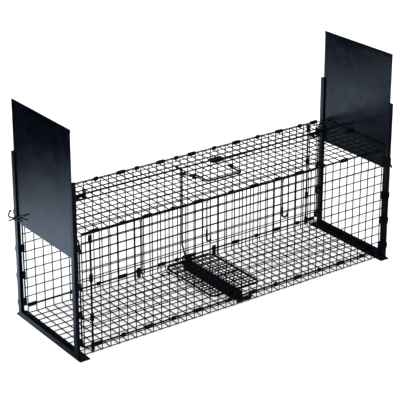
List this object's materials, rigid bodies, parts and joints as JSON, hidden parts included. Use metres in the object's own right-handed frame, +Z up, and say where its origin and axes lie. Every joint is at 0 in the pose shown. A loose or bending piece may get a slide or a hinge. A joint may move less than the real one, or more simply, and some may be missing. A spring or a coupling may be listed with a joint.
{
  "type": "live catch trap",
  "caption": "Folding wire-mesh live catch trap with a drop door at each end, a central treadle, trip rods along the top and a wire carrying handle.",
  "frame": {"origin": "on the ground, midway between the two end frames and the two side panels", "axes": "+X along the cage from the left door to the right door, +Y toward the rear side panel, +Z up"},
  "size_m": [1.0136, 0.3255, 0.588],
  "materials": {
    "mesh_wire": "semi-gloss black coating over welded wire",
    "rod_wire": "semi-gloss black coating",
    "clip_steel": "satin black coating",
    "bracket_steel": "satin black coating",
    "frame_coat": "satin blue-black powder coat",
    "door_sheet": "satin blue-black powder coat, faintly textured"
  },
  "bodies": {
    "cage": {"floor_tray": "mesh_wire", "front_panel": "mesh_wire", "rear_panel": "mesh_wire", "top_panel": "mesh_wire", "long_clips_top": "clip_steel", "short_clips_top": "clip_steel", "long_clips_bottom": "clip_steel", "short_clips_bottom": "clip_steel", "left_hinge_pin": "rod_wire", "right_hinge_pin": "rod_wire", "front_lock_hooks": "clip_steel", "rear_lock_hooks": "clip_steel", "front_panel_rod": "rod_wire", "rear_panel_rod": "rod_wire", "panel_rod_clips": "clip_steel", "front_hanging_hooks": "clip_steel", "rear_floor_hooks": "clip_steel", "treadle_axle": "rod_wire", "treadle_bearings": "bracket_steel", "treadle_stop": "rod_wire", "left_rod_guide": "bracket_steel", "right_rod_guide": "bracket_steel", "trip_rod_eye": "bracket_steel", "lever_pivot": "bracket_steel", "handle_eyes": "bracket_steel"},
    "treadle": {"treadle_mesh": "mesh_wire", "treadle_border": "rod_wire", "treadle_channel": "bracket_steel"},
    "trip_rod": {"trip_rod": "rod_wire"},
    "trip_lever": {"trip_lever": "bracket_steel"},
    "left_pull_rod": {"left_pull_rod": "rod_wire"},
    "right_pull_rod": {"right_pull_rod": "rod_wire"},
    "handle": {"handle_bail": "rod_wire"},
    "left_frame": {"left_rear_post": "frame_coat", "left_front_post": "frame_coat", "left_sill": "frame_coat", "left_cross_rod": "rod_wire", "left_catch": "rod_wire", "left_hinge_clips": "clip_steel", "left_lock_rings": "clip_steel", "left_latch_lug": "bracket_steel"},
    "left_lock_rod": {"left_lock_rod": "rod_wire"},
    "left_door": {"left_door": "door_sheet"},
    "left_latch": {"left_latch": "rod_wire"},
    "right_frame": {"right_front_post": "frame_coat", "right_rear_post": "frame_coat", "right_sill": "frame_coat", "right_cross_rod": "rod_wire", "right_catch": "rod_wire", "right_hinge_clips": "clip_steel", "right_lock_rings": "clip_steel", "right_latch_lug": "bracket_steel"},
    "right_lock_rod": {"right_lock_rod": "rod_wire"},
    "right_door": {"right_door": "door_sheet"},
    "right_latch": {"right_latch": "rod_wire"}
  },
  "joints": [
    {"name": "treadle_tilt", "type": "hinge", "parent": "cage", "child": "treadle", "pos_m": [-0.002, 0, 0.014], "axis": [0, 1, 0], "range_deg": [0, 10]},
    {"name": "trip_rod_turn", "type": "hinge", "parent": "cage", "child": "trip_rod", "pos_m": [-0.068, 0.032, 0.2], "axis": [0, 0, -1], "range_deg": [0, 4.6]},
    {"name": "lever_turn", "type": "hinge", "parent": "cage", "child": "trip_lever", "pos_m": [0.053, 0.0475, 0.3345], "axis": [0, 0, -1], "range_deg": [0, 15.4]},
    {"name": "left_rod_pull", "type": "slide", "parent": "cage", "child": "left_pull_rod", "axis": [1, 0, 0], "range_m": [0, 0.0018]},
    {"name": "right_rod_pull", "type": "slide", "parent": "cage", "child": "right_pull_rod", "axis": [-0.999, -0.0453, 0], "range_m": [0, 0.0018]},
    {"name": "handle_swing", "type": "hinge", "parent": "cage", "child": "handle", "pos_m": [0, -0.008, 0.3324], "axis": [-1, 0, 0], "range_deg": [0, 150]},
    {"name": "left_frame_swing", "type": "hinge", "parent": "cage", "child": "left_frame", "pos_m": [-0.482, 0.1375, 0.175], "axis": [0, 0, -1], "range_deg": [0, 90]},
    {"name": "left_lock_lift", "type": "slide", "parent": "left_frame", "child": "left_lock_rod", "axis": [0, 0, 1], "range_m": [0, 0.26]},
    {"name": "left_door_drop", "type": "slide", "parent": "left_frame", "child": "left_door", "axis": [0, 0, -1], "range_m": [0, 0.258]},
    {"name": "left_latch_turn", "type": "hinge", "parent": "left_frame", "child": "left_latch", "pos_m": [-0.5032, 0.1345, 0.274], "axis": [-1, 0, 0], "range_deg": [0, 35]},
    {"name": "right_frame_swing", "type": "hinge", "parent": "cage", "child": "right_frame", "pos_m": [0.482, -0.1375, 0.175], "axis": [0, 0, -1], "range_deg": [0, 90]},
    {"name": "right_lock_lift", "type": "slide", "parent": "right_frame", "child": "right_lock_rod", "axis": [0, 0, 1], "range_m": [0, 0.26]},
    {"name": "right_door_drop", "type": "slide", "parent": "right_frame", "child": "right_door", "axis": [0, 0, -1], "range_m": [0, 0.258]},
    {"name": "right_latch_turn", "type": "hinge", "parent": "right_frame", "child": "right_latch", "pos_m": [0.5032, -0.1345, 0.274], "axis": [1, 0, 0], "range_deg": [0, 35]}
  ],
  "couplings": [
    {"joint": "trip_rod_turn", "follows": "treadle_tilt", "ratio": 0.446},
    {"joint": "left_rod_pull", "follows": "treadle_tilt", "m_per_rad": 0.0098},
    {"joint": "lever_turn", "follows": "treadle_tilt", "ratio": 1.51},
    {"joint": "right_rod_pull", "follows": "treadle_tilt", "m_per_rad": 0.0098}
  ]
}
